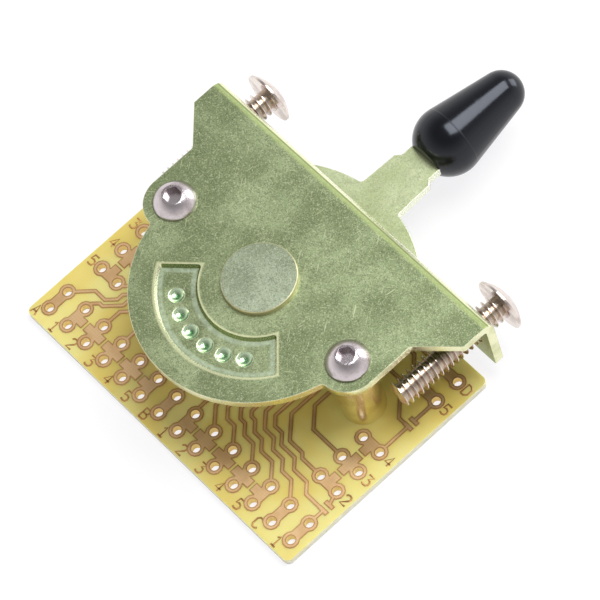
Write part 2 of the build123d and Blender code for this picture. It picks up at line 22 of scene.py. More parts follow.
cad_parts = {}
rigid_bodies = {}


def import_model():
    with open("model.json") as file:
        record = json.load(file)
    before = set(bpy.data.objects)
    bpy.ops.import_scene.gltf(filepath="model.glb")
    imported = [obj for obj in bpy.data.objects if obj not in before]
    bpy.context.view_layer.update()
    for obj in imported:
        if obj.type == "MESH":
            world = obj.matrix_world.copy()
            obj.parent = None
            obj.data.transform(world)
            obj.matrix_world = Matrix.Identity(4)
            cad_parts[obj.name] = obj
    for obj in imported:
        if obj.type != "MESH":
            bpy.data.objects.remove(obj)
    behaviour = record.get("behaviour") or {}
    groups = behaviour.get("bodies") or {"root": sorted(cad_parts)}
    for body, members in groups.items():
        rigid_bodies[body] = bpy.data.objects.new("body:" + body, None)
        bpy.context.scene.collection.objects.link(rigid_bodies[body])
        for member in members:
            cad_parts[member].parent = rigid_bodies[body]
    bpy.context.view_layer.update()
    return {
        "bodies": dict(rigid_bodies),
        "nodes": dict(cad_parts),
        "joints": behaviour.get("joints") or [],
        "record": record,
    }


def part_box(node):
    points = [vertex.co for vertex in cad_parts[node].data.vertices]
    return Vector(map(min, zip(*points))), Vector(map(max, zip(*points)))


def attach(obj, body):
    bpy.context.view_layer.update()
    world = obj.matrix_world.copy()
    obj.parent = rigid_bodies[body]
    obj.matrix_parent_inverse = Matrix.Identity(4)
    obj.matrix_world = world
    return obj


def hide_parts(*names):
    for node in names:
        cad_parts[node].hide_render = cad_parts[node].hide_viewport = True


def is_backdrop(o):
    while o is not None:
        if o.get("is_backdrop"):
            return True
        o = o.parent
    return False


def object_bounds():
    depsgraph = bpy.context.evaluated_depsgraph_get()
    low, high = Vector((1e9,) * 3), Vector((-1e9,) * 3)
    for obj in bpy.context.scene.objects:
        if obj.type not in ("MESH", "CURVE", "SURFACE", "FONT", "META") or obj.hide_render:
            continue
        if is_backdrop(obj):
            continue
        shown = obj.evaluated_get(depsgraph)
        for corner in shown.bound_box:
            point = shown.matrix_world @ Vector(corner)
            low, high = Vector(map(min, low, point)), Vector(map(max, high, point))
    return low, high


log = logging.getLogger("selector_switch")

MM = 0.001
IMAGE_WIDTH = 600

# Two levels nearer to each other than this are the same level.
TOUCH = 0.01 * MM

# The pivot's distance behind the flange's outer face, and the recess's middle radius about it.
PIVOT_SETBACK = 15.0 * MM
TRACK_CIRCLE = 10.1 * MM

Colour = tuple[float, float, float]
Point = tuple[float, float]


def srgb(red: int, green: int, blue: int) -> Colour:
    """Turns a colour as a screen shows it into the linear one that a shader takes.

    Args:
        red: The red value, 0 to 255.
        green: The green value, 0 to 255.
        blue: The blue value, 0 to 255.

    Returns:
        The linear red, green and blue, 0 to 1.
    """
    shares = [value / 255 for value in (red, green, blue)]
    linear = [s / 12.92 if s <= 0.04045 else ((s + 0.055) / 1.055) ** 2.4 for s in shares]
    return (linear[0], linear[1], linear[2])


def opaque(colour: Colour) -> tuple[float, float, float, float]:
    """The colour with full alpha, as a colour socket takes it."""
    return (*colour, 1.0)


class Signal:
    """An output socket that takes part in Python arithmetic; each operation adds a node."""

    def __init__(self, graph: "NodeGraph", socket: bpy.types.NodeSocket) -> None:
        """Wraps a socket.

        Args:
            graph: The graph that the socket's node is in.
            socket: The output socket.
        """
        self.graph = graph
        self.socket = socket

    def _math(self, operation: str, *operands: "Operand") -> "Signal":
        """Adds a Math node on the operands, in order."""
        inputs = dict(enumerate(operands))
        return self.graph.node("ShaderNodeMath", {"operation": operation}, inputs)[0]

    def __add__(self, other: "Operand") -> "Signal":
        """The sum."""
        return self._math("ADD", self, other)

    def __radd__(self, other: "Operand") -> "Signal":
        """The sum, with the number first."""
        return self._math("ADD", other, self)

    def __sub__(self, other: "Operand") -> "Signal":
        """The difference."""
        return self._math("SUBTRACT", self, other)

    def __rsub__(self, other: "Operand") -> "Signal":
        """The difference, with the number first."""
        return self._math("SUBTRACT", other, self)

    def __mul__(self, other: "Operand") -> "Signal":
        """The product."""
        return self._math("MULTIPLY", self, other)

    def __rmul__(self, other: "Operand") -> "Signal":
        """The product, with the number first."""
        return self._math("MULTIPLY", other, self)

    def __truediv__(self, other: "Operand") -> "Signal":
        """The quotient."""
        return self._math("DIVIDE", self, other)

    def __rtruediv__(self, other: "Operand") -> "Signal":
        """The quotient, with the number first."""
        return self._math("DIVIDE", other, self)

    def __abs__(self) -> "Signal":
        """The size without its sign."""
        return self._math("ABSOLUTE", self)

    def __pow__(self, other: "Operand") -> "Signal":
        """The power."""
        return self._math("POWER", self, other)

    def sine(self) -> "Signal":
        """The sine of this value in radians."""
        return self._math("SINE", self)

    def band(self, start: float, end: float, soft: float) -> "Signal":
        """1 between two values and 0 outside them, with soft ends.

        Args:
            start: Where the band begins.
            end: Where it ends.
            soft: How far each end fades.

        Returns:
            A value from 0 to 1.
        """
        return self.mapped(start - soft, start) * (1 - self.mapped(end, end + soft))

    def largest(self, other: "Operand") -> "Signal":
        """The larger of the two."""
        return self._math("MAXIMUM", self, other)

    def mapped(self, low: float, high: float, to_low: float = 0.0, to_high: float = 1.0) -> "Signal":
        """Spreads a stretch of this value over another stretch, held at its ends.

        Args:
            low: The value that becomes to_low.
            high: The value that becomes to_high.
            to_low: The result at low.
            to_high: The result at high.

        Returns:
            The spread value.
        """
        settings = {"interpolation_type": "SMOOTHSTEP"}
        inputs = {"Value": self, "From Min": low, "From Max": high, "To Min": to_low, "To Max": to_high}
        return self.graph.node("ShaderNodeMapRange", settings, inputs)[0]


Operand = Union[Signal, float]
SocketValue = Union[Signal, float, int, bool, Sequence[float], bpy.types.ID]


class Outputs:
    """The outputs of one node, by name or by place."""

    def __init__(self, graph: "NodeGraph", node: bpy.types.Node) -> None:
        """Wraps a node of the graph."""
        self.graph = graph
        self.node = node

    def __getitem__(self, key: Union[str, int]) -> Signal:
        """The output of that name or place, as a signal."""
        return Signal(self.graph, self.node.outputs[key])


class NodeGraph:
    """A node tree that is built by calls, one for each node."""

    def __init__(self, tree: bpy.types.NodeTree) -> None:
        """Starts on a tree."""
        self.tree = tree

    def node(
        self,
        kind: str,
        settings: Optional[Mapping[str, object]] = None,
        inputs: Optional[Mapping[Union[str, int], SocketValue]] = None,
    ) -> Outputs:
        """Adds one node.

        Args:
            kind: The node's type.
            settings: The node's own properties, set first.
            inputs: A value or a signal for each socket, by name or place.

        Returns:
            The node's outputs.
        """
        made = self.tree.nodes.new(kind)
        for name, value in (settings or {}).items():
            setattr(made, name, value)
        for key, value in (inputs or {}).items():
            self.plug(made.inputs[key], value)
        return Outputs(self, made)

    def plug(self, socket: bpy.types.NodeSocket, value: SocketValue) -> None:
        """Links a signal to a socket, or sets the socket's own value."""
        if isinstance(value, Signal):
            self.tree.links.new(value.socket, socket)
        else:
            socket.default_value = value


class ShaderGraph(NodeGraph):
    """The node tree of a material, with the few nodes that most finishes need."""

    def place(self) -> Signal:
        """The point on the piece, in the piece's own coordinates."""
        return self.node("ShaderNodeTexCoord")["Object"]

    def facing(self) -> tuple[Signal, Signal, Signal]:
        """The surface's own direction, as its three parts along the piece's axes."""
        return self.parts(self.node("ShaderNodeTexCoord")["Normal"])

    def parts(self, vector: Signal) -> tuple[Signal, Signal, Signal]:
        """A vector's three parts."""
        split = self.node("ShaderNodeSeparateXYZ", None, {0: vector})
        return split[0], split[1], split[2]

    def stretched(self, vector: Signal, scale: Sequence[float], turn: float = 0.0) -> Signal:
        """The coordinates scaled along each axis after a turn about Z.

        Args:
            vector: The coordinates.
            scale: The factor along each axis.
            turn: The turn in degrees.

        Returns:
            The new coordinates.
        """
        inputs = {"Vector": vector, "Rotation": (0.0, 0.0, math.radians(turn)), "Scale": scale}
        return self.node("ShaderNodeMapping", {"vector_type": "TEXTURE"}, inputs)[0]

    def noise(self, vector: Signal, size: float, detail: float = 2.0, rough: float = 0.5) -> Signal:
        """Smooth random spots.

        Args:
            vector: The coordinates.
            size: How large a spot is, in metres.
            detail: How many finer layers are added.
            rough: How strong each finer layer is.

        Returns:
            A value about 0.5, mostly between 0.25 and 0.75.
        """
        inputs = {"Vector": vector, "Scale": 1 / size, "Detail": detail, "Roughness": rough}
        return self.node("ShaderNodeTexNoise", None, inputs)[0]

    def weave(self, vector: Signal, pitch: float) -> Signal:
        """The crossings of a cloth that lies at 45 degrees to X and Y.

        Args:
            vector: The coordinates.
            pitch: The distance between two threads, in metres.

        Returns:
            A height from 0 to 1.
        """
        x, y, _ = self.parts(vector)
        wave = 2 * math.pi / pitch / math.sqrt(2)
        return ((x + y) * wave).sine() * ((x - y) * wave).sine() * 0.5 + 0.5

    def grains(self, vector: Signal, size: float) -> Signal:
        """A random value for each small cell of a surface, from 0 to 1."""
        cells = self.node("ShaderNodeTexVoronoi", None, {"Vector": vector, "Scale": 1 / size})
        return self.node("ShaderNodeSeparateColor", None, {0: cells["Color"]})[0]

    def blend(self, share: Operand, first: SocketValue, second: SocketValue) -> Signal:
        """Mixes two colours.

        Args:
            share: How much of the second shows, 0 to 1.
            first: The colour at 0.
            second: The colour at 1.

        Returns:
            The mixed colour.
        """
        inputs = {0: share, 6: self._colour(first), 7: self._colour(second)}
        return self.node("ShaderNodeMix", {"data_type": "RGBA"}, inputs)[2]

    @staticmethod
    def _colour(value: SocketValue) -> SocketValue:
        """The value as a colour socket takes it."""
        return value if isinstance(value, Signal) else opaque(value)

    def bumped(self, height: Signal, distance: float) -> Signal:
        """The surface's direction over small bumps.

        Args:
            height: The bumps' height, 0 to 1.
            distance: How high a height of 1 stands, in metres.

        Returns:
            The direction for the shader's Normal socket.
        """
        return self.node("ShaderNodeBump", None, {"Height": height, "Distance": distance})[0]

    def surface(self, inputs: Mapping[Union[str, int], SocketValue]) -> None:
        """Ends the tree in one principled shader with those inputs."""
        shader = self.node("ShaderNodeBsdfPrincipled", None, inputs)
        self.node("ShaderNodeOutputMaterial", None, {"Surface": shader[0]})


@dataclass(frozen=True)
class Finish:
    """A surface finish, which makes its material once.

    Attributes:
        name: The material's name.
    """

    name: str

    def material(self) -> bpy.types.Material:
        """The finish's material, made on first use."""
        known = bpy.data.materials.get(self.name)
        if known:
            return known
        made = bpy.data.materials.new(self.name)
        made.use_nodes = True
        made.node_tree.nodes.clear()
        self.shade(ShaderGraph(made.node_tree))
        return made

    def shade(self, graph: ShaderGraph) -> None:
        """Builds the material's nodes; each finish has its own."""
        raise NotImplementedError


@dataclass(frozen=True)
class ZincPassivate(Finish):
    """Zinc plate with a coloured passivate: cloudy, finely speckled, with hairline scratches and painted edge
    highlights.

    Attributes:
        deep: The colour of the darker clouds.
        middle: The main colour.
        light: The colour of the bright specks.
        thin: The colour painted on steep faces and rounded edges: a painted highlight, and painted shade in the
            walls' finish.
        metallic: How metallic it is.
        roughness: Its mean roughness.
        speck: How strongly the specks show, 0 to 1.
        scratches: How strongly the scratches show, 0 to 1.
        bend_at: Where along Y a wide bend begins; past it the painted highlight lies in bands across the bend.
    """

    deep: Colour
    middle: Colour
    light: Colour
    thin: Colour
    metallic: float = 0.8
    roughness: float = 0.36
    speck: float = 0.7
    scratches: float = 0.6
    bend_at: float = 1.0

    def shade(self, graph: ShaderGraph) -> None:
        """Layers clouds, dark pits, bright specks and scratches, and paints light and shade on steep faces, edges
        and the bend.
        """
        place = graph.place()
        clouds = graph.noise(place, 6.0 * MM, detail=3.0).mapped(0.4, 0.62)
        smoke = graph.noise(place, 1.5 * MM, detail=5.0, rough=0.7).mapped(0.44, 0.62)
        crystal = graph.grains(place, 0.11 * MM)
        grain = graph.noise(place, 0.22 * MM, detail=3.0, rough=0.75) * 0.5 + crystal * 0.5
        pits = grain.mapped(0.45, 0.22) * self.speck
        sparks = grain.mapped(0.58, 0.82) * self.speck
        marks = self.scratch_mask(graph, place)
        colour = graph.blend(clouds, self.deep, self.middle)
        colour = graph.blend(smoke * 0.45, colour, tuple(c * 0.8 for c in self.deep))
        colour = graph.blend(pits * 0.8, colour, tuple(c * 0.35 for c in self.deep))
        colour = graph.blend((sparks * 0.7).largest(marks), colour, self.light)
        # Painted highlight on steep faces and rounded edges, painted shade in the walls' finish, and painted
        # highlight bands across the bend.
        _, _, up = graph.facing()
        steep = abs(up)
        _, along, _ = graph.parts(place)
        bent = along.mapped(self.bend_at - 0.4 * MM, self.bend_at)
        bend_highlight = steep.mapped(0.99, 0.75) * 0.4 + steep.mapped(0.8, 0.6) * 0.6
        bend_highlight = bend_highlight * steep.mapped(0.1, 0.35) * bent
        wear_and_edge_light = (steep.mapped(0.995, 0.88) * (1 - bent)).largest(bend_highlight)
        colour = graph.blend(wear_and_edge_light * 0.95, colour, self.thin)
        colour = self.formed(graph, place, colour)
        roughness = self.roughness + grain * 0.2 - 0.1 + pits * 0.12 - marks * 0.1 - wear_and_edge_light * 0.1
        graph.surface(
            {
                "Base Color": colour,
                "Metallic": self.metallic,
                "Roughness": roughness,
                "Normal": graph.bumped(grain * 0.7 - marks * 0.5, 0.01 * MM),
            }
        )

    def formed(self, graph: ShaderGraph, place: Signal, colour: Signal) -> Signal:
        """The colour with painted light and shade along pressed and bent forms; plain parts keep it."""
        return colour

    def scratch_mask(self, graph: ShaderGraph, place: Signal) -> Signal:
        """Short hairlines in three directions, 0 to 1."""
        lines = []
        for turn, size in ((37.0, 0.13 * MM), (-52.0, 0.15 * MM), (80.0, 0.12 * MM)):
            along = graph.stretched(place, (18.0, 1.0, 1.0), turn)
            lines.append(graph.noise(along, size, detail=0.0).mapped(0.8, 0.85))
        return lines[0].largest(lines[1]).largest(lines[2]) * self.scratches


@dataclass(frozen=True)
class PressedZinc(ZincPassivate):
    """Zinc plate on the pressed frame, with painted highlights and shade along the recess and the bend.

    Attributes:
        lip: The colour of the painted highlight on the recess's rim and on the ridge of the bend.
        root: The colour of the painted sheen band along the recess's root.
        fold: The colour of the painted light band beside the bend.
        fold_line: The colour of the narrow line of painted shade along the bend.
        track_half: Half the recess's width.
        track_apex: How far in front of the pivot the recess's two ends meet.
        track_slant: The angle of each end to the switch's axis, in degrees.
        fold_at: Where along Y the painted lines of the bend start.
    """

    lip: Colour = (1.0, 1.0, 1.0)
    root: Colour = (1.0, 1.0, 1.0)
    fold: Colour = (1.0, 1.0, 1.0)
    fold_line: Colour = (1.0, 1.0, 1.0)
    track_half: float = 2.6 * MM
    track_apex: float = 2.6 * MM
    track_slant: float = 48.5
    fold_at: float = -0.85 * MM

    def formed(self, graph: ShaderGraph, place: Signal, colour: Signal) -> Signal:
        """The colour with a painted highlight on the recess's rim, a painted sheen band along its root, and
        painted light and shade across the bend.
        """
        across, along, level = graph.parts(place)
        ahead = along + PIVOT_SETBACK
        slant = math.radians(self.track_slant)
        ring = abs((across**2 + ahead**2) ** 0.5 - TRACK_CIRCLE) - self.track_half
        ends = abs(across) * math.cos(slant) + (ahead - self.track_apex) * math.sin(slant)
        reach = ring.largest(ends)
        # Painted highlight on the recess's rim, and a painted sheen band along its root.
        above = level.mapped(-1.2 * MM, -0.9 * MM)
        rim = reach.band(-0.02 * MM, 0.12 * MM, 0.24 * MM) * above
        patchy = graph.noise(place, 0.5 * MM, detail=4.0, rough=0.7).mapped(0.3, 0.7, 0.35, 1.0)
        band = reach.band(-0.72 * MM, -0.5 * MM, 0.34 * MM) * above * patchy
        colour = graph.blend(band * 0.8, colour, self.root)
        colour = graph.blend(rim * 0.6, colour, self.lip)
        # Painted light band, painted shade line and painted highlight ridge across the bend.
        past = along - self.fold_at
        beside = past.band(-0.3 * MM, 0.0, 0.4 * MM)
        line = past.band(0.05 * MM, 0.17 * MM, 0.08 * MM)
        ridge = past.band(0.3 * MM, 0.45 * MM, 0.08 * MM)
        colour = graph.blend(beside * 0.45, colour, self.fold)
        colour = graph.blend(line * 0.7, colour, self.fold_line)
        return graph.blend(ridge * 0.7, colour, self.lip)


@dataclass(frozen=True)
class BrightMetal(Finish):
    """Plated or bare bright metal with faint clouds and fine rubbing marks.

    Attributes:
        colour: The metal's colour.
        stain: The colour of its darker clouds.
        roughness: Its mean roughness.
        lines: The size of the turning marks in metres, or 0 for none.
    """

    colour: Colour
    stain: Colour
    roughness: float = 0.2
    lines: float = 0.0

    def shade(self, graph: ShaderGraph) -> None:
        """Layers clouds and fine marks."""
        place = graph.place()
        clouds = graph.noise(place, 2.2 * MM, detail=3.0).mapped(0.42, 0.66)
        grain = graph.noise(place, 0.18 * MM, detail=2.0, rough=0.6)
        colour = graph.blend(clouds * 0.6, self.colour, self.stain)
        colour = graph.blend(grain.mapped(0.62, 0.74) * 0.4, colour, self.stain)
        height = grain
        if self.lines:
            _, _, level = graph.parts(place)
            height = height * 0.4 + graph.noise(level * (1 / self.lines), 1.0, detail=1.0)
        graph.surface(
            {
                "Base Color": colour,
                "Metallic": 1.0,
                "Roughness": self.roughness + grain * 0.12 - 0.06 + clouds * 0.05,
                "Normal": graph.bumped(height, 0.002 * MM),
            }
        )


@dataclass(frozen=True)
class Foil(Finish):
    """Etched copper foil over woven glass, with the weave showing through.

    Attributes:
        colour: The main colour.
        dull: The colour of its tarnished patches.
        weave: The pitch of the glass weave in metres.
        metallic: How metallic it is.
    """

    colour: Colour
    dull: Colour
    weave: float = 0.5 * MM
    metallic: float = 0.7

    def shade(self, graph: ShaderGraph) -> None:
        """Layers tarnish and the weave."""
        place = graph.place()
        weave = graph.weave(place, self.weave)
        tarnish = graph.noise(place, 3.0 * MM, detail=3.0).mapped(0.4, 0.66)
        grain = graph.noise(place, 0.25 * MM, detail=3.0, rough=0.6)
        colour = graph.blend(tarnish * 0.7, self.colour, self.dull)
        colour = graph.blend(weave.mapped(0.5, 1.0) * 0.35, colour, self.dull)
        colour = graph.blend(grain.mapped(0.6, 0.75) * 0.3, colour, self.dull)
        graph.surface(
            {
                "Base Color": colour,
                "Metallic": self.metallic,
                "Roughness": 0.26 + grain * 0.14,
                "Normal": graph.bumped(weave * 0.6 + grain * 0.4, 0.006 * MM),
            }
        )


@dataclass(frozen=True)
class Laminate(Finish):
    """Glass-fibre laminate: waxy resin over a faint weave, with darker cut edges.

    Attributes:
        resin: The colour of the face.
        thick: The colour where the resin lies thicker.
        cut: The colour of the cut edges.
        bore: The colour of the holes' walls.
        glow: The colour of a painted glow on the holes' walls, for the light that seeps through the laminate into
            them.
        weave: The pitch of the glass weave in metres.
    """

    resin: Colour
    thick: Colour
    cut: Colour
    bore: Colour
    glow: Colour
    weave: float = 0.5 * MM

    def shade(self, graph: ShaderGraph) -> None:
        """Layers cloudy resin, the weave and the cut edges, with a painted glow on the holes' walls."""
        place = graph.place()
        weave = graph.weave(place, self.weave)
        clouds = graph.noise(place, 9.0 * MM, detail=2.0).mapped(0.36, 0.66)
        grain = graph.noise(place, 0.3 * MM, detail=2.0)
        _, _, up = graph.facing()
        edge = abs(up).mapped(0.7, 0.3)
        fibres = graph.noise(graph.stretched(place, (9.0, 9.0, 1.0)), 0.12 * MM).mapped(0.4, 0.62)
        colour = graph.blend(clouds * 0.6, self.resin, self.thick)
        colour = graph.blend(weave.mapped(0.55, 1.0) * 0.12, colour, self.thick)
        x, y, _ = graph.parts(place)
        rim = abs(x).mapped(23.7 * MM, 23.9 * MM).largest(y.mapped(-34.6 * MM, -34.8 * MM))
        side = graph.blend(rim * (1 - fibres * 0.4), self.bore, self.cut)
        colour = graph.blend(edge, colour, side)
        graph.surface(
            {
                "Base Color": colour,
                "Roughness": 0.32 + grain * 0.1 + edge * 0.25,
                "Normal": graph.bumped(weave * 0.5 + grain * 0.3, 0.003 * MM),
                # A painted glow on the holes' walls, where light would seep through the laminate.
                "Emission Color": graph.blend(edge * (1 - rim), (0.0, 0.0, 0.0), self.glow),
                "Emission Strength": 1.0,
                "Subsurface Weight": 0.45,
                "Subsurface Radius": (1.0, 0.75, 0.3),
                "Subsurface Scale": 1.2 * MM,
            }
        )


@dataclass(frozen=True)
class Moulding(Finish):
    """Moulded plastic with a soft skin texture and a parting ring.

    Attributes:
        colour: The main colour.
        worn: The colour of rubbed spots.
        roughness: Its mean roughness.
        ring_at: Where the parting ring stands along Y, or None for no ring.
        tint: The colour of what it mirrors straight on.
    """

    colour: Colour
    worn: Colour
    roughness: float
    ring_at: Optional[float] = None
    tint: Colour = (1.0, 1.0, 1.0)

    def shade(self, graph: ShaderGraph) -> None:
        """Layers skin texture, rubbing and the parting ring."""
        place = graph.place()
        _, y, _ = graph.parts(place)
        skin = graph.noise(place, 0.5 * MM, detail=2.0)
        wear_and_edge_light = graph.noise(place, 3.0 * MM, detail=4.0, rough=0.65).mapped(0.56, 0.76)
        height = skin * 0.25
        colour = graph.blend(wear_and_edge_light * 0.6, self.colour, self.worn)
        if self.ring_at is not None:
            ring = abs(y - self.ring_at).mapped(0.09 * MM, 0.02 * MM)
            height = height + ring
            colour = graph.blend(ring * 0.5, colour, self.worn)
        graph.surface(
            {
                "Base Color": colour,
                "Roughness": self.roughness + wear_and_edge_light * 0.06 + skin * 0.04,
                "Normal": graph.bumped(height, 0.02 * MM),
                "Specular Tint": opaque(self.tint),
            }
        )


class Finishes:
    """Every finish that the switch has."""

    # In each zinc finish the fourth colour is painted on steep faces and rounded edges: a painted highlight, and
    # painted shade in the walls' finish.
    FRAME_ZINC = PressedZinc(
        "frame_zinc",
        srgb(134, 147, 104),
        srgb(166, 179, 134),
        srgb(228, 230, 190),
        srgb(248, 248, 220),
        metallic=0.75,
        roughness=0.36,
        bend_at=-1.9 * MM,
        # Painted highlight, sheen band, light band and shade line along the recess and the bend.
        lip=srgb(240, 238, 190),
        root=srgb(198, 212, 184),
        fold=srgb(196, 212, 130),
        fold_line=srgb(120, 142, 66),
    )
    FRAME_CUT = BrightMetal("frame_cut_edge", srgb(238, 238, 196), srgb(194, 198, 146), roughness=0.26)
    # A darker copy of the frame's zinc: painted shade on the recess's inner wall and its left end.
    WALL_ZINC = ZincPassivate(
        "wall_zinc",
        srgb(106, 120, 74),
        srgb(126, 142, 92),
        srgb(172, 182, 140),
        srgb(112, 126, 78),
        metallic=0.75,
        roughness=0.34,
    )
    DIMPLE_ZINC = ZincPassivate(
        "dimple_zinc",
        srgb(112, 166, 110),
        srgb(140, 188, 132),
        srgb(232, 240, 214),
        srgb(206, 228, 190),
        metallic=0.9,
        roughness=0.24,
        speck=0.3,
    )
    RIVET_ZINC = ZincPassivate(
        "rivet_zinc",
        srgb(148, 158, 128),
        srgb(176, 186, 156),
        srgb(228, 230, 208),
        srgb(206, 196, 150),
        metallic=0.7,
        roughness=0.4,
        speck=0.65,
        scratches=0.3,
    )
    LEVER_ZINC = ZincPassivate(
        "lever_zinc",
        srgb(192, 202, 150),
        srgb(212, 220, 174),
        srgb(240, 244, 218),
        srgb(248, 250, 228),
        metallic=0.7,
        roughness=0.34,
        speck=0.4,
    )
    BOARD = Laminate(
        "board_laminate",
        srgb(241, 227, 142),
        srgb(228, 196, 82),
        srgb(244, 238, 214),
        srgb(226, 206, 146),
        srgb(122, 108, 68),
    )
    COPPER = Foil("copper_foil", srgb(244, 204, 152), srgb(224, 178, 124))
    COPPER_EDGE = Foil("copper_foil_edge", srgb(212, 162, 108), srgb(188, 136, 84))
    INK = Foil("copper_characters", srgb(204, 152, 92), srgb(184, 130, 74))
    NICKEL = BrightMetal("screw_nickel", srgb(234, 222, 214), srgb(184, 166, 156))
    # A darker copy of the nickel: painted shade in the thread roots.
    THREAD_ROOT = BrightMetal("thread_root", srgb(190, 174, 156), srgb(144, 128, 112), roughness=0.28)
    STAINLESS = BrightMetal("socket_steel", srgb(212, 202, 204), srgb(164, 150, 152), roughness=0.22)
    SPACER = BrightMetal("spacer_nickel", srgb(244, 236, 206), srgb(222, 206, 164), lines=0.2 * MM)
    SPRING = BrightMetal("spring_steel", srgb(190, 190, 188), srgb(150, 148, 144), roughness=0.3)
    BRONZE = BrightMetal("contact_bronze", srgb(214, 176, 112), srgb(170, 128, 74), roughness=0.28)
    TIP = Moulding(
        "tip_black",
        srgb(3, 3, 8),
        srgb(14, 14, 24),
        0.16,
        ring_at=14.85 * MM,
        tint=(0.86, 0.9, 1.0),
    )
    ROTOR = Moulding("rotor_natural", srgb(226, 218, 196), srgb(198, 188, 164), 0.5)


class GeometryGraph(NodeGraph):
    """A Geometry Nodes group with named inputs, run once and kept as plain mesh."""

    def __init__(self, name: str) -> None:
        """Starts a group with a geometry input and output.

        Args:
            name: The group's name.
        """
        super().__init__(bpy.data.node_groups.new(name, "GeometryNodeTree"))
        for way in ("INPUT", "OUTPUT"):
            self.tree.interface.new_socket("Geometry", in_out=way, socket_type="NodeSocketGeometry")
        self.source = self.tree.nodes.new("NodeGroupInput")
        self.sink = self.tree.nodes.new("NodeGroupOutput")

    @property
    def geometry(self) -> Signal:
        """The geometry that the group starts from."""
        return Signal(self, self.source.outputs[0])

    def size(self, name: str) -> Signal:
        """Adds a named size as an input of the group."""
        self.tree.interface.new_socket(name, in_out="INPUT", socket_type="NodeSocketFloat")
        return Signal(self, self.source.outputs[name])

    def finish(self, geometry: Signal, finish: Finish) -> None:
        """Ends the group in Realize Instances and Set Material."""
        real = self.node("GeometryNodeRealizeInstances", None, {0: geometry})
        inputs = {"Geometry": real[0], "Material": finish.material()}
        dressed = self.node("GeometryNodeSetMaterial", None, inputs)
        self.tree.links.new(dressed[0].socket, self.sink.inputs[0])

    def run(self, start: bpy.types.Mesh, sizes: Mapping[str, float]) -> bpy.types.Mesh:
        """Runs the group on a mesh.

        Args:
            start: The mesh that the group starts from.
            sizes: A value for each named input.

        Returns:
            The result, with nothing live left on it.
        """
        carrier = bpy.data.objects.new("carrier", start)
        bpy.context.scene.collection.objects.link(carrier)
        modifier = carrier.modifiers.new("build", "NODES")
        modifier.node_group = self.tree
        for item in self.tree.interface.items_tree:
            if item.item_type == "SOCKET" and item.name in sizes:
                modifier[item.identifier] = float(sizes[item.name])
        bpy.context.view_layer.update()
        graph = bpy.context.evaluated_depsgraph_get()
        result = bpy.data.meshes.new_from_object(carrier.evaluated_get(graph))
        bpy.data.objects.remove(carrier)
        return result


class Workshop:
    """Turns meshes into pieces of the switch, and dresses the pieces of the frame."""

    def __init__(self, frame: Mapping[str, object]) -> None:
        """Starts on a loaded frame.
        """
        self.nodes = frame["nodes"]
        self.body_of = {node: body for body, group in self._groups(frame).items() for node in group}

    @staticmethod
    def _groups(frame: Mapping[str, object]) -> Mapping[str, Sequence[str]]:
        """The frame's bodies and the nodes on each."""
        return frame["record"]["behaviour"]["bodies"]

    def dress(self, node: str, *finishes: Finish) -> None:
        """Gives a node of the frame its materials."""
        mesh = self.nodes[node].data
        mesh.materials.clear()
        for finish in finishes:
            mesh.materials.append(finish.material())
        log.info("dressed %s", node)

    def piece(
        self, name: str, mesh: bpy.types.Mesh, body: str, slot: str, replaced: Sequence[str] = ()
    ) -> bpy.types.Object:
        """Makes a mesh a piece of the switch.

        Args:
            name: The piece's name.
            mesh: Its mesh, in place, with its materials.
            body: The body that it rides on.
            slot: Not used.
            replaced: The nodes that it stands for.

        Returns:
            The piece.
        """
        mesh.name = name
        made = bpy.data.objects.new(name, mesh)
        bpy.context.scene.collection.objects.link(made)
        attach(made, body)
        if replaced:
            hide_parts(*replaced)
        log.info("piece %s: %d faces, on %s", name, len(mesh.polygons), body)
        return made

    def merged(self, node: str) -> bmesh.types.BMesh:
        """A copy of a node's mesh with its loose triangles joined and its flats cleared."""
        shape = bmesh.new()
        shape.from_mesh(self.nodes[node].data)
        bmesh.ops.remove_doubles(shape, verts=shape.verts, dist=0.001 * MM)
        bmesh.ops.dissolve_limit(
            shape, angle_limit=math.radians(0.5), verts=shape.verts, edges=shape.edges, delimit={"NORMAL"}
        )
        return shape

    def rounded(self, shape: bmesh.types.BMesh, finishes: Sequence[Finish], width: float) -> bpy.types.Mesh:
        """Rounds a shape's sharp edges.

        Args:
            shape: The shape, which is freed.
            finishes: The finishes that its faces' material numbers name.
            width: How far each edge is rounded in from its corner.

        Returns:
            A smooth-shaded mesh.
        """
        start = bpy.data.meshes.new("rounding")
        for face in shape.faces:
            face.smooth = True
        shape.to_mesh(start)
        shape.free()
        for finish in finishes:
            start.materials.append(finish.material())
        carrier = bpy.data.objects.new("carrier", start)
        bpy.context.scene.collection.objects.link(carrier)
        bevel = carrier.modifiers.new("round", "BEVEL")
        bevel.width = width
        bevel.segments = 3
        bevel.limit_method = "ANGLE"
        bevel.angle_limit = math.radians(28)
        carrier.modifiers.new("keep_flats", "WEIGHTED_NORMAL")
        bpy.context.view_layer.update()
        graph = bpy.context.evaluated_depsgraph_get()
        result = bpy.data.meshes.new_from_object(carrier.evaluated_get(graph))
        bpy.data.objects.remove(carrier)
        return result

    def rounded_piece(self, node: str, name: str, finish: Finish, slot: str, width: float) -> None:
        """Replaces a node by a copy with rounded edges, in one finish."""
        mesh = self.rounded(self.merged(node), [finish], width)
        self.piece(name, mesh, self.body_of[node], slot, [node])


class Side(Enum):
    """The two ends of the switch along its flange."""

    LEFT = -1
    RIGHT = 1

    @property
    def word(self) -> str:
        """The side as the frame's nodes name it."""
        return self.name.lower()


class Pole(Enum):
    """The four poles, in the order of their terminals round the board."""

    A = 0
    B = 1
    C = 2
    D = 3

    @property
    def word(self) -> str:
        """The pole as the frame's nodes name it."""
        return self.name.lower()


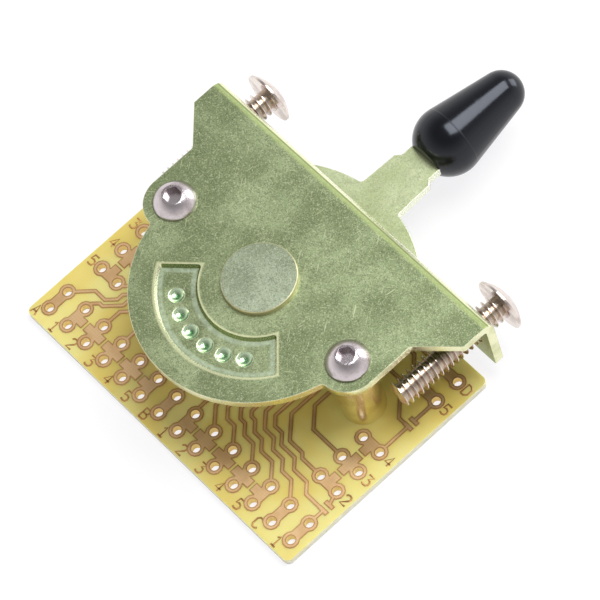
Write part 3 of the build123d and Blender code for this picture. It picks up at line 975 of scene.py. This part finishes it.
class Glyph(Enum):
    """The characters beside the pads, as pen strokes in a cell one unit high."""

    ONE = (((0.08, 0.78), (0.32, 1.0), (0.32, 0.0)), ((0.06, 0.0), (0.58, 0.0)))
    TWO = (((0.0, 0.8), (0.1, 0.95), (0.3, 1.0), (0.5, 0.95), (0.6, 0.76), (0.5, 0.54), (0.0, 0.0), (0.62, 0.0)),)
    THREE = (
        ((0.0, 1.0), (0.6, 1.0), (0.26, 0.6), (0.46, 0.58), (0.6, 0.42), (0.6, 0.2), (0.44, 0.02), (0.14, 0.0)),
        ((0.14, 0.0), (0.0, 0.12)),
    )
    FOUR = (((0.44, 0.0), (0.44, 1.0), (0.0, 0.3), (0.62, 0.3)),)
    FIVE = (
        ((0.56, 1.0), (0.06, 1.0), (0.0, 0.54), (0.26, 0.62), (0.5, 0.54), (0.6, 0.32), (0.5, 0.08), (0.26, 0.0)),
        ((0.26, 0.0), (0.0, 0.1)),
    )
    A = (((0.0, 0.0), (0.3, 1.0), (0.6, 0.0)), ((0.1, 0.34), (0.5, 0.34)))
    B = (
        ((0.0, 0.0), (0.0, 1.0), (0.4, 1.0), (0.55, 0.88), (0.55, 0.66), (0.4, 0.54), (0.0, 0.54)),
        ((0.4, 0.54), (0.6, 0.4), (0.6, 0.14), (0.42, 0.0), (0.0, 0.0)),
    )
    C = (((0.6, 0.84), (0.42, 1.0), (0.18, 1.0), (0.0, 0.8), (0.0, 0.2), (0.18, 0.0), (0.42, 0.0), (0.6, 0.16)),)
    D = (((0.0, 0.0), (0.0, 1.0), (0.34, 1.0), (0.6, 0.74), (0.6, 0.26), (0.34, 0.0), (0.0, 0.0)),)


@dataclass
class PressedFrame:
    """The bent steel frame and the rivet that the lever turns on.

    Attributes:
        workshop: Makes the pieces.
        edge_round: How far the plate's edges are rounded.
        press_round: How far the rims and roots of the pressed recess are rounded.
        bend_reach: How far in from the flange's outer face the bend reaches.
        outline_start: The distance from the pivot past which an upright face is the plate's outline.
        recess_depth: How deep the recess is.
        recess_reach: How far the recess's forms reach to each side of its middle circle.
        inner_wall: The nearest that its inner wall comes to that circle.
        end_reach: How far its left end's wall reaches to each side of that circle.
        end_turn: The furthest turn of that wall about the pivot, in degrees.
        dimple_radius: The radius of a dimple's bright bowl.
        dimple_room: Half the width of the band that the dimples fill.
        dimple_reach: How far the row of dimples reaches to each side, in degrees.
    """

    workshop: Workshop
    edge_round: float = 0.11 * MM
    press_round: float = 0.24 * MM
    bend_reach: float = 1.8 * MM
    outline_start: float = 14.0 * MM
    recess_depth: float = 0.5 * MM
    recess_reach: float = 3.4 * MM
    inner_wall: float = 1.8 * MM
    end_reach: float = 2.15 * MM
    end_turn: float = 60.0
    dimple_radius: float = 1.1 * MM
    dimple_room: float = 1.2 * MM
    dimple_reach: float = 45.0

    def build(self) -> None:
        """Rounds the plate and the rivet's head and dresses them."""
        shape = self.workshop.merged("frame_plate")
        self.soften_recess(shape)
        self.mark_cut_edges(shape)
        finishes = [Finishes.FRAME_ZINC, Finishes.FRAME_CUT, Finishes.DIMPLE_ZINC, Finishes.WALL_ZINC]
        mesh = self.workshop.rounded(shape, finishes, self.edge_round)
        self.workshop.piece("frame_sheet", mesh, "frame", "zinc_frame", ["frame_plate"])
        rivet = Finishes.RIVET_ZINC
        self.workshop.rounded_piece("pivot_pin", "pivot_rivet", rivet, "zinc_rivet", self.edge_round)

    @staticmethod
    def from_track(point: Vector) -> tuple[float, float]:
        """Where a point lies by the recess's middle circle.

        Args:
            point: The point, in place on the plate.

        Returns:
            Its distance outwards from the circle, and its turn about the pivot in degrees.
        """
        behind = -point.y - PIVOT_SETBACK
        return math.hypot(point.x, behind) - TRACK_CIRCLE, math.degrees(math.atan2(point.x, behind))

    def beside_dimples(self, point: Vector) -> bool:
        """Whether a point of the recess lies outside the band that the dimples fill."""
        out, turn = self.from_track(point)
        return abs(out) > self.dimple_room or abs(turn) > self.dimple_reach

    def in_shaded_wall(self, point: Vector) -> bool:
        """Whether a point is in the recess's inner wall or its left end, which get painted shade."""
        out, turn = self.from_track(point)
        at_left_end = abs(out) < self.end_reach and -self.end_turn < turn < -self.dimple_reach
        return -self.recess_reach < out < -self.inner_wall or at_left_end

    def soften_recess(self, shape: bmesh.types.BMesh) -> None:
        """Rounds the rim and the root of the recess, as pressing leaves them."""
        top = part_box("frame_plate")[1].z
        bottom = top - self.recess_depth
        up = [face for face in shape.faces if face.normal.z > 0.9]
        floor = [face for face in up if abs(face.calc_center_median().z - bottom) < TOUCH]
        bmesh.ops.triangulate(shape, faces=floor)
        edges = []
        for edge in shape.edges:
            near = all(abs(self.from_track(v.co)[0]) < self.recess_reach for v in edge.verts)
            level = any(all(abs(v.co.z - z) < TOUCH for v in edge.verts) for z in (top, bottom))
            outer = all(self.beside_dimples(v.co) for v in edge.verts)
            if near and level and outer and edge.is_manifold and edge.calc_face_angle() > 0.3:
                edges.append(edge)
        bmesh.ops.bevel(
            shape,
            geom=edges,
            offset=self.press_round,
            segments=4,
            profile=0.5,
            affect="EDGES",
            clamp_overlap=True,
        )

    def mark_cut_edges(self, shape: bmesh.types.BMesh) -> None:
        """Sets each face's finish: 1 for sheared edges, 2 for dimples, 3 for the walls with painted shade."""
        low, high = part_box("frame_plate")
        shape.normal_update()
        for face in shape.faces:
            normal, middle = face.normal, face.calc_center_median()
            out, _ = self.from_track(middle)
            outline = abs(normal.z) < 0.2 and middle.y < high.y - self.bend_reach
            outer = out + TRACK_CIRCLE > self.outline_start
            end = abs(normal.x) > 0.9 and abs(middle.x) > high.x - 0.1 * MM
            lower = normal.z < -0.9 and middle.z < low.z + 0.1 * MM
            below = high.z - 2.2 * self.recess_depth < middle.z < high.z - 1.06 * self.recess_depth
            if (outline and outer) or end or lower:
                face.material_index = 1
            elif below and normal.z > 0.1 and abs(out) < self.dimple_radius:
                face.material_index = 2
            # The recess's inner wall and left end get a darker copy of the zinc as painted shade.
            elif self.in_shaded_wall(middle) and 0.2 < normal.z < 0.86:
                face.material_index = 3


@dataclass
class Fasteners:
    """The two mounting screws and the two socket screws, with the spacers.

    Attributes:
        workshop: Makes the pieces.
        pitch: The distance between the mounting screws' thread crests.
        root_radius: The radius at the bottom of the thread.
        crest_radius: The radius at the top of the thread.
        crest_flat: The width of the thread's crest.
        turn_steps: The steps in one turn of the thread.
        head_height: The height of a mounting screw's head.
        head_round: How far its edges are rounded.
        socket_round: How far a socket screw's edges are rounded.
    """

    workshop: Workshop
    pitch: float = 25.4 / 32 * MM
    root_radius: float = 1.22 * MM
    crest_radius: float = 1.75 * MM
    crest_flat: float = 0.1 * MM
    turn_steps: int = 40
    head_height: float = 1.4 * MM
    head_round: float = 0.07 * MM
    socket_round: float = 0.06 * MM

    def build(self) -> None:
        """Makes and dresses every fastener."""
        tree = self.thread_tree()
        for side in Side:
            self.mounting_screw(tree, side)
            self.socket_screw(side)
            self.workshop.dress(f"spacer_{side.word}", Finishes.SPACER)

    def socket_screw(self, side: Side) -> None:
        """Replaces a socket screw's node by one with rounded edges."""
        node, name = f"board_screw_{side.word}", f"socket_screw_{side.word}"
        self.workshop.rounded_piece(node, name, Finishes.STAINLESS, "bright_steel", self.socket_round)

    def thread_tree(self) -> GeometryGraph:
        """A group that winds a ridge round a core, along +Z from 0."""
        graph = GeometryGraph("screw_thread")
        length = graph.size("Length")
        pitch = graph.size("Pitch")
        root = graph.size("Root radius")
        crest = graph.size("Crest radius")
        flat = graph.size("Crest flat")
        spiral = graph.node(
            "GeometryNodeCurveSpiral",
            None,
            {
                "Resolution": self.turn_steps,
                "Rotations": length / pitch,
                "Start Radius": root,
                "End Radius": root,
                "Height": length,
            },
        )
        upright = graph.node("GeometryNodeSetCurveNormal", {"mode": "Z_UP"}, {"Curve": spiral[0]})
        ridge = graph.node(
            "GeometryNodeCurvePrimitiveQuadrilateral",
            {"mode": "TRAPEZOID"},
            {"Bottom Width": pitch * 0.92, "Top Width": flat, "Height": (crest - root) * 2, "Offset": 0.0},
        )
        inputs = {"Geometry": ridge[0], "Rotation": (0.0, 0.0, math.pi / 2)}
        turned = graph.node("GeometryNodeTransform", None, inputs)
        inputs = {"Curve": upright[0], "Profile Curve": turned[0], "Fill Caps": True}
        wound = graph.node("GeometryNodeCurveToMesh", None, inputs)
        inputs = {"Vertices": self.turn_steps, "Radius": root * 1.02, "Depth": length}
        core = graph.node("GeometryNodeMeshCylinder", None, inputs)
        lift = graph.node("ShaderNodeCombineXYZ", None, {"Z": length / 2})
        inputs = {"Geometry": core["Mesh"], "Translation": lift[0]}
        raised = graph.node("GeometryNodeTransform", None, inputs)
        joined = graph.node("GeometryNodeJoinGeometry", None, {"Geometry": wound[0]})
        graph.tree.links.new(raised[0].socket, joined.node.inputs[0])
        graph.finish(joined[0], Finishes.NICKEL)
        return graph

    def mounting_screw(self, tree: GeometryGraph, side: Side) -> None:
        """Replaces a mounting screw's node by one with a thread and a rounded head."""
        node = f"mounting_screw_{side.word}"
        low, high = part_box(node)
        head = self.workshop.merged(node)
        seat = high.y - self.head_height
        shank = [face for face in head.faces if face.calc_center_median().y < seat - TOUCH]
        bmesh.ops.delete(head, geom=shank, context="FACES")
        bmesh.ops.holes_fill(head, edges=[edge for edge in head.edges if edge.is_boundary], sides=0)
        mesh = self.workshop.rounded(head, [Finishes.NICKEL], self.head_round)
        sizes = {
            "Length": seat - low.y,
            "Pitch": self.pitch,
            "Root radius": self.root_radius,
            "Crest radius": self.crest_radius,
            "Crest flat": self.crest_flat,
        }
        thread = tree.run(bpy.data.meshes.new("thread_start"), sizes)
        middle = (low + high) / 2
        start = Matrix.Translation((middle.x, low.y, middle.z))
        thread.transform(start @ Matrix.Rotation(-math.pi / 2, 4, "X"))
        joined = self.joined([mesh, thread], middle, self.root_radius * 1.06)
        self.workshop.piece(f"threaded_screw_{side.word}", joined, "frame", "bright_steel", [node])

    @staticmethod
    def joined(meshes: Sequence[bpy.types.Mesh], axis: Vector, root: float) -> bpy.types.Mesh:
        """One mesh made of several, bright, with painted shade on the thread roots.

        Args:
            meshes: The head and the thread, in place.
            axis: A point on the screw's axis, which runs along Y.
            root: The radius below which a face is in a thread's root.

        Returns:
            The joined mesh.
        """
        shape = bmesh.new()
        for mesh in meshes:
            shape.from_mesh(mesh)
        whole = bpy.data.meshes.new("joined")
        for face in shape.faces:
            face.smooth = True
            middle = face.calc_center_median()
            # Faces deep in the thread's roots get the painted shade.
            deep = math.hypot(middle.x - axis.x, middle.z - axis.z) < root
            face.material_index = 1 if deep and abs(face.normal.y) < 0.5 else 0
        shape.to_mesh(whole)
        shape.free()
        whole.materials.append(Finishes.NICKEL.material())
        whole.materials.append(Finishes.THREAD_ROOT.material())
        whole.set_sharp_from_angle(angle=math.radians(35))
        return whole


@dataclass
class Board:
    """The printed circuit board: laminate, foil and the characters beside the pads.

    Attributes:
        workshop: Makes the pieces.
        foil_edge: The width of the foil's etched edge.
        pad_pitch: The pitch of the pads.
        bottom_pads: How many pads the lower row has.
        side_levels: Where along Y the pads at the board's sides lie.
        character_height: The height of a character.
        row_margin: How far the lower row's characters stand above the board's edge.
        row_shift: How far each of them starts to the left of its pad.
        left_margin: How far the left column's characters stand in from the board's edge.
        right_margin: How far the right column's characters start in from the board's edge.
        stroke_width: The width of a character's strokes.
        stroke_height: How far it stands out of the board.
    """

    workshop: Workshop
    foil_edge: float = 0.13 * MM
    pad_pitch: float = 3.42 * MM
    bottom_pads: int = 14
    side_levels: tuple[float, ...] = (-24.85 * MM, -21.43 * MM, -18.01 * MM, -8.92 * MM, -5.5 * MM)
    character_height: float = 1.4 * MM
    row_margin: float = 0.3 * MM
    row_shift: float = 1.5 * MM
    left_margin: float = 0.5 * MM
    right_margin: float = 1.3 * MM
    stroke_width: float = 0.24 * MM
    stroke_height: float = 0.03 * MM

    def build(self) -> None:
        """Dresses the board, etches the foil and draws the characters."""
        self.workshop.dress("circuit_board", Finishes.BOARD)
        for pole in Pole:
            self.etched_foil(pole)
        self.characters()

    def etched_foil(self, pole: Pole) -> None:
        """Replaces a pole's foil by a copy whose faces have a darker etched border."""
        node = f"copper_{pole.word}"
        shape = self.workshop.merged(node)
        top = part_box(node)[1].z
        up = [face for face in shape.faces if face.normal.z > 0.9]
        faces = [face for face in up if face.calc_center_median().z > top - TOUCH]
        for face in shape.faces:
            face.material_index = 1
        for face in faces:
            face.material_index = 0
        rims = bmesh.ops.inset_region(
            shape, faces=faces, thickness=self.foil_edge, use_boundary=True, use_even_offset=True
        )
        for face in rims["faces"]:
            face.material_index = 1
        mesh = bpy.data.meshes.new("foil")
        shape.to_mesh(mesh)
        shape.free()
        mesh.materials.append(Finishes.COPPER.material())
        mesh.materials.append(Finishes.COPPER_EDGE.material())
        self.workshop.piece(f"foil_{pole.word}", mesh, "frame", "copper", [node])

    def labels(self) -> list[tuple[Glyph, Point]]:
        """Each character with the lower left corner of its cell."""
        digits = [Glyph.ONE, Glyph.TWO, Glyph.THREE, Glyph.FOUR, Glyph.FIVE]
        low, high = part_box("circuit_board")
        first = -(self.bottom_pads - 1) * self.pad_pitch / 2
        row = [Glyph.A, *digits, Glyph.B, *digits, Glyph.C, Glyph.ONE]
        level = low.y + self.row_margin
        shift = first - self.row_shift
        found = [(glyph, (shift + n * self.pad_pitch, level)) for n, glyph in enumerate(row)]
        right = [Glyph.TWO, Glyph.THREE, Glyph.FOUR, Glyph.FIVE, Glyph.D]
        half = self.character_height / 2
        columns = ((right, high.x - self.right_margin), (digits[::-1], low.x + self.left_margin))
        for column, edge in columns:
            found += [(glyph, (edge, y - half)) for glyph, y in zip(column, self.side_levels)]
        return found

    def stroke_tree(self) -> GeometryGraph:
        """A group that draws a flat strip of foil along each edge of a mesh."""
        graph = GeometryGraph("foil_strokes")
        width = graph.size("Width")
        height = graph.size("Height")
        lines = graph.node("GeometryNodeMeshToCurve", None, {"Mesh": graph.geometry})
        upright = graph.node("GeometryNodeSetCurveNormal", {"mode": "Z_UP"}, {"Curve": lines[0]})
        section = graph.node(
            "GeometryNodeCurvePrimitiveQuadrilateral", {"mode": "RECTANGLE"}, {"Width": width, "Height": height}
        )
        inputs = {"Curve": upright[0], "Profile Curve": section[0], "Fill Caps": True}
        strips = graph.node("GeometryNodeCurveToMesh", None, inputs)
        graph.finish(strips[0], Finishes.INK)
        return graph

    def characters(self) -> None:
        """Draws every character on the board's face."""
        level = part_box("circuit_board")[1].z
        lines = bmesh.new()
        tall = self.character_height
        for glyph, (x, y) in self.labels():
            for line in glyph.value:
                verts = [lines.verts.new((x + right * tall, y + up * tall, level)) for right, up in line]
                for start, end in zip(verts, verts[1:]):
                    lines.edges.new((start, end))
        start_mesh = bpy.data.meshes.new("strokes")
        lines.to_mesh(start_mesh)
        lines.free()
        mesh = self.stroke_tree().run(start_mesh, {"Width": self.stroke_width, "Height": self.stroke_height})
        self.workshop.piece("pad_characters", mesh, "frame", "copper")


@dataclass
class LeverGroup:
    """The lever, its tip, and the rotor, wipers and spring that turn with it.

    Attributes:
        workshop: Makes the pieces.
        edge_round: How far the lever's edges are rounded.
    """

    workshop: Workshop
    edge_round: float = 0.12 * MM

    def build(self) -> None:
        """Rounds the lever and dresses the rest."""
        zinc = Finishes.LEVER_ZINC
        self.workshop.rounded_piece("lever_plate", "lever_sheet", zinc, "lever_steel", self.edge_round)
        self.workshop.dress("lever_tip", Finishes.TIP)
        self.workshop.dress("rotor", Finishes.ROTOR)
        self.workshop.dress("detent_spring", Finishes.SPRING)
        for side in Side:
            self.workshop.dress(f"spring_rivet_{side.word}", Finishes.SPRING)
        for pole in Pole:
            self.workshop.dress(f"wiper_{pole.word}", Finishes.BRONZE)


@dataclass
class Studio:
    """The floor, the soft lights and the camera.

    Attributes:
        eye: Where the camera stands, in metres.
        right: The direction of the picture's right edge.
        down: The direction of the picture's lower edge.
        focal_pixels: The focal length in pixels of the photograph.
        floor_reach: Half the floor's width, in metres.
        ceiling: How bright the room is overhead, where its walls are 1.
    """

    eye: tuple[float, float, float] = (0.22957, -0.10711, 0.43713)
    right: tuple[float, float, float] = (0.65541, 0.73321, -0.18123)
    down: tuple[float, float, float] = (0.60486, -0.65325, -0.45543)
    focal_pixels: float = 4261.0
    floor_reach: float = 1.5
    ceiling: float = 0.3

    def build(self) -> None:
        """Sets up the whole studio."""
        scene = bpy.context.scene
        scene.view_settings.view_transform = "Standard"
        self.camera()
        self.floor()
        self.world()
        self.softbox("key_light", (0.05, 0.35, 0.75), 0.55, 5.6)
        self.softbox("back_light", (0.1, 0.95, 0.3), 0.5, 3.0)

    def camera(self) -> None:
        """Places the camera where the photograph was taken from."""
        right = Vector(self.right).normalized()
        down = Vector(self.down)
        down = (down - right * down.dot(right)).normalized()
        back = right.cross(-down)
        lens = bpy.data.cameras.new("camera")
        lens.sensor_width = 36.0
        lens.lens = self.focal_pixels / IMAGE_WIDTH * lens.sensor_width
        lens.clip_start = 0.01
        made = bpy.data.objects.new("camera", lens)
        turn = Matrix((right, -down, back)).transposed().to_4x4()
        made.matrix_world = Matrix.Translation(self.eye) @ turn
        bpy.context.scene.collection.objects.link(made)
        bpy.context.scene.camera = made

    def softbox(self, name: str, place: tuple[float, float, float], size: float, power: float) -> None:
        """Adds a square area light that looks at the switch.

        Args:
            name: The light's name.
            place: Where it stands.
            size: The length of its sides.
            power: Its power in watts.
        """
        lamp = bpy.data.lights.new(name, "AREA")
        lamp.size = size
        lamp.energy = power
        lamp.color = (0.93, 0.96, 1.0)
        made = bpy.data.objects.new(name, lamp)
        aim = Vector((0.0, -0.012, 0.0)) - Vector(place)
        made.rotation_euler = aim.to_track_quat("-Z", "Y").to_euler()
        made.location = place
        bpy.context.scene.collection.objects.link(made)

    def floor(self) -> None:
        """Lays a pale floor under the board."""
        low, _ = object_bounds()
        reach = self.floor_reach
        ways = ((-1, -1), (1, -1), (1, 1), (-1, 1))
        corners = [(x * reach, y * reach, low.z) for x, y in ways]
        mesh = bpy.data.meshes.new("floor")
        mesh.from_pydata(corners, [], [(0, 1, 2, 3)])
        made = bpy.data.objects.new("floor", mesh)
        bpy.context.scene.collection.objects.link(made)
        made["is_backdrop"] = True
        material = bpy.data.materials.new("floor_paper")
        material.use_nodes = True
        material.node_tree.nodes.clear()
        graph = ShaderGraph(material.node_tree)
        rays = graph.node("ShaderNodeLightPath")
        shown = rays["Is Camera Ray"].largest(rays["Is Glossy Ray"]).largest(rays["Is Transmission Ray"])
        shade = graph.blend(shown, (0.75, 0.75, 0.75), (0.26, 0.25, 0.22))
        paper = graph.node("ShaderNodeBsdfDiffuse", None, {"Color": shade})
        inputs = {"Color": opaque((0.96, 0.96, 1.0)), "Strength": shown * 0.8}
        glow = graph.node("ShaderNodeEmission", None, inputs)
        both = graph.node("ShaderNodeAddShader", None, {0: paper[0], 1: glow[0]})
        graph.node("ShaderNodeOutputMaterial", None, {"Surface": both[0]})
        mesh.materials.append(material)

    def world(self) -> None:
        """Fills the room with soft light and shows it white behind the switch."""
        room = bpy.data.worlds.new("room")
        bpy.context.scene.world = room
        room.use_nodes = True
        room.node_tree.nodes.clear()
        graph = ShaderGraph(room.node_tree)
        rays = graph.node("ShaderNodeLightPath")
        _, _, height = graph.parts(graph.place())
        mirrored = rays["Is Glossy Ray"] * height.mapped(0.4, 0.2)
        shown = rays["Is Camera Ray"].largest(rays["Is Transmission Ray"]).largest(mirrored)
        strength = height.mapped(0.1, 0.9, 1.0, self.ceiling).largest(shown)
        inputs = {"Color": opaque((1.0, 1.0, 1.0)), "Strength": strength}
        light = graph.node("ShaderNodeBackground", None, inputs)
        graph.node("ShaderNodeOutputWorld", None, {"Surface": light[0]})


def main() -> None:
    """Dresses the switch and sets up its studio."""
    logging.basicConfig(level=logging.INFO, format="%(name)s: %(message)s")
    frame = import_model()
    workshop = Workshop(frame)
    groups = (PressedFrame(workshop), Fasteners(workshop), Board(workshop), LeverGroup(workshop), Studio())
    for group in groups:
        group.build()
        log.info("built %s", type(group).__name__)


if __name__ == "__main__":
    main()
